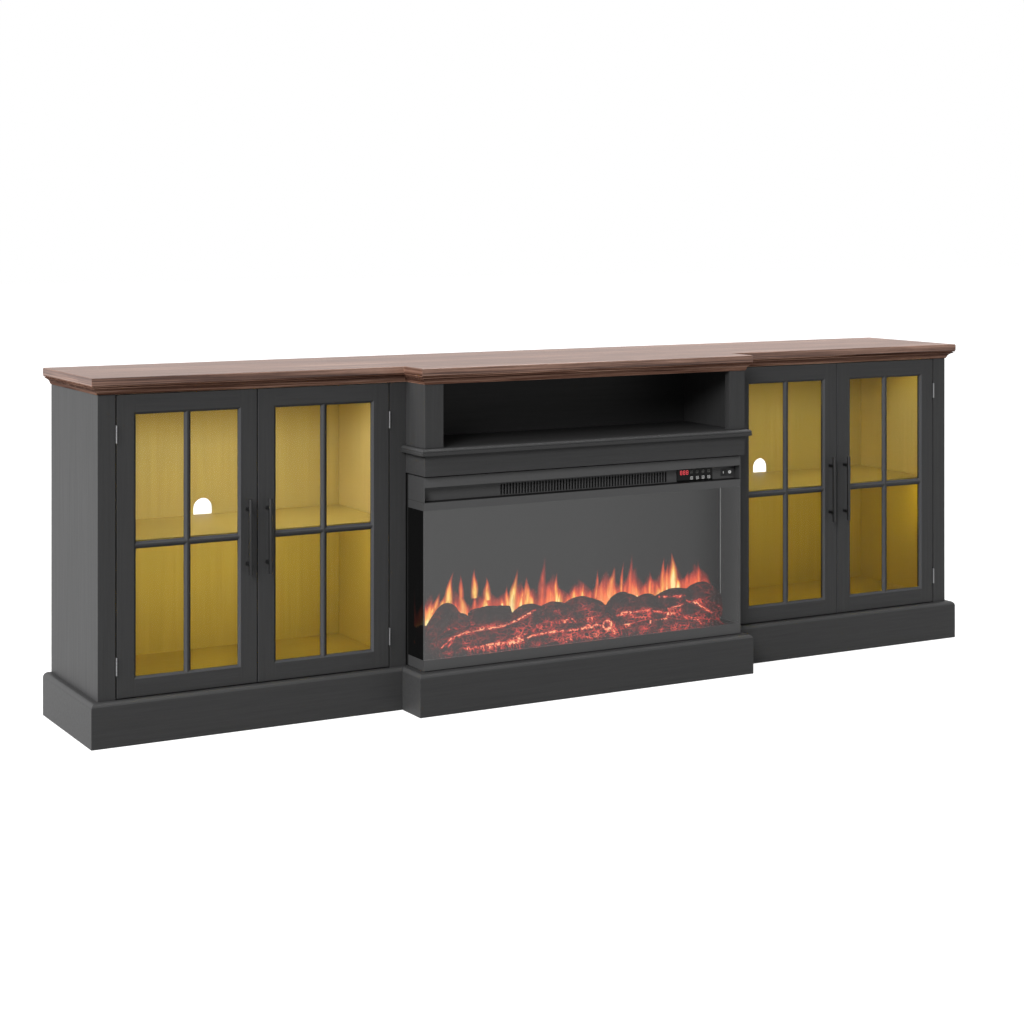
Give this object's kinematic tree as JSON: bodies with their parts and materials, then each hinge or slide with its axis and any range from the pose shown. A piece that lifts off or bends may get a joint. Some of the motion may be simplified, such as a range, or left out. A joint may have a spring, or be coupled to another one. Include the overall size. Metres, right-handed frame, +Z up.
{
  "type": "fireplace tv stand",
  "caption": "Low media cabinet with glazed side cabinets, an open cubby over a glass-fronted electric fire insert, a stepped moulded top and a plinth.",
  "frame": {"origin": "middle of the footprint at floor level", "axes": "+X right as seen from the front, the front faces -Y, +Z up"},
  "size_m": [2.424, 0.458, 0.8],
  "materials": {
    "walnut_top": "satin walnut grain, the edges darker than the face",
    "charcoal_panel": "charcoal woodgrain foil, low sheen",
    "lit_interior": "matt foil under warm light",
    "light_diffuser": "frosted warm light diffuser",
    "door_glass": "clear tempered",
    "fire_glass": "smoked, reflective",
    "hinge_steel": "satin",
    "black_metal": "satin black powder coat",
    "gloss_black": "piano black",
    "soft_black": "matt black",
    "screen_film": "smoked translucent sheet",
    "charred_log": "painted resin, charred with glowing ridges",
    "rotor_foil": "bright foil vanes"
  },
  "bodies": {
    "carcass": {"top_board": "walnut_top", "cornice_moulding": "walnut_top", "left_outer_side": "charcoal_panel", "left_inner_side": "charcoal_panel", "left_base_board": "lit_interior", "left_shelf": "lit_interior", "left_back_panel": "lit_interior", "left_plinth": "charcoal_panel", "left_light_bar": "light_diffuser", "right_outer_side": "charcoal_panel", "right_inner_side": "charcoal_panel", "right_base_board": "lit_interior", "right_shelf": "lit_interior", "right_back_panel": "lit_interior", "right_plinth": "charcoal_panel", "right_light_bar": "light_diffuser", "left_cubby_side": "charcoal_panel", "right_cubby_side": "charcoal_panel", "cubby_floor": "charcoal_panel", "frieze_board": "charcoal_panel", "centre_back": "charcoal_panel", "centre_base": "charcoal_panel", "centre_plinth": "charcoal_panel", "firebox_housing": "black_metal", "header_fascia": "black_metal", "control_panel": "gloss_black", "front_glass": "fire_glass", "left_glass": "fire_glass", "right_glass": "fire_glass", "bottom_trim": "black_metal", "flame_screen": "screen_film", "log_set": "charred_log", "cord_gland": "soft_black"},
    "door_1": {"door_1_frame": "charcoal_panel", "door_1_glass": "door_glass", "door_1_handle": "black_metal", "door_1_upper_hinge": "hinge_steel", "door_1_lower_hinge": "hinge_steel"},
    "door_2": {"door_2_frame": "charcoal_panel", "door_2_glass": "door_glass", "door_2_handle": "black_metal", "door_2_upper_hinge": "hinge_steel", "door_2_lower_hinge": "hinge_steel"},
    "door_3": {"door_3_frame": "charcoal_panel", "door_3_glass": "door_glass", "door_3_handle": "black_metal", "door_3_upper_hinge": "hinge_steel", "door_3_lower_hinge": "hinge_steel"},
    "door_4": {"door_4_frame": "charcoal_panel", "door_4_glass": "door_glass", "door_4_handle": "black_metal", "door_4_upper_hinge": "hinge_steel", "door_4_lower_hinge": "hinge_steel"},
    "key_1_cap": {"key_1": "soft_black"},
    "key_2_cap": {"key_2": "soft_black"},
    "key_3_cap": {"key_3": "soft_black"},
    "key_4_cap": {"key_4": "soft_black"},
    "rocker": {"power_rocker": "soft_black"},
    "fan": {"fan_drum": "soft_black"},
    "rotor": {"flame_rotor": "rotor_foil"}
  },
  "joints": [
    {"name": "door_1_hinge", "type": "hinge", "parent": "carcass", "child": "door_1", "pos_m": [-1.1505, -0.1163, 0.43], "axis": [0, 0, -1], "range_deg": [0, 165]},
    {"name": "door_2_hinge", "type": "hinge", "parent": "carcass", "child": "door_2", "pos_m": [-0.4925, -0.1163, 0.43], "axis": [0, 0, 1], "range_deg": [0, 100]},
    {"name": "door_3_hinge", "type": "hinge", "parent": "carcass", "child": "door_3", "pos_m": [0.4925, -0.1163, 0.43], "axis": [0, 0, -1], "range_deg": [0, 100]},
    {"name": "door_4_hinge", "type": "hinge", "parent": "carcass", "child": "door_4", "pos_m": [1.1505, -0.1163, 0.43], "axis": [0, 0, 1], "range_deg": [0, 165]},
    {"name": "key_1_press", "type": "slide", "parent": "carcass", "child": "key_1_cap", "axis": [0, 1, 0], "range_m": [0, 0.0008], "stiffness_N_per_m": 600, "springref_m": -0.0004},
    {"name": "key_2_press", "type": "slide", "parent": "carcass", "child": "key_2_cap", "axis": [0, 1, 0], "range_m": [0, 0.0008], "stiffness_N_per_m": 600, "springref_m": -0.0004},
    {"name": "key_3_press", "type": "slide", "parent": "carcass", "child": "key_3_cap", "axis": [0, 1, 0], "range_m": [0, 0.0008], "stiffness_N_per_m": 600, "springref_m": -0.0004},
    {"name": "key_4_press", "type": "slide", "parent": "carcass", "child": "key_4_cap", "axis": [0, 1, 0], "range_m": [0, 0.0008], "stiffness_N_per_m": 600, "springref_m": -0.0004},
    {"name": "rocker_tilt", "type": "hinge", "parent": "carcass", "child": "rocker", "pos_m": [0.4215, -0.173, 0.504], "axis": [0, 0, 1], "range_deg": [0, 16]},
    {"name": "fan_spin", "type": "hinge", "parent": "carcass", "child": "fan", "pos_m": [0, -0.148, 0.506], "axis": [1, 0, 0], "continuous": true},
    {"name": "rotor_spin", "type": "hinge", "parent": "carcass", "child": "rotor", "pos_m": [0, -0.0947, 0.1503], "axis": [1, 0, 0], "continuous": true}
  ]
}
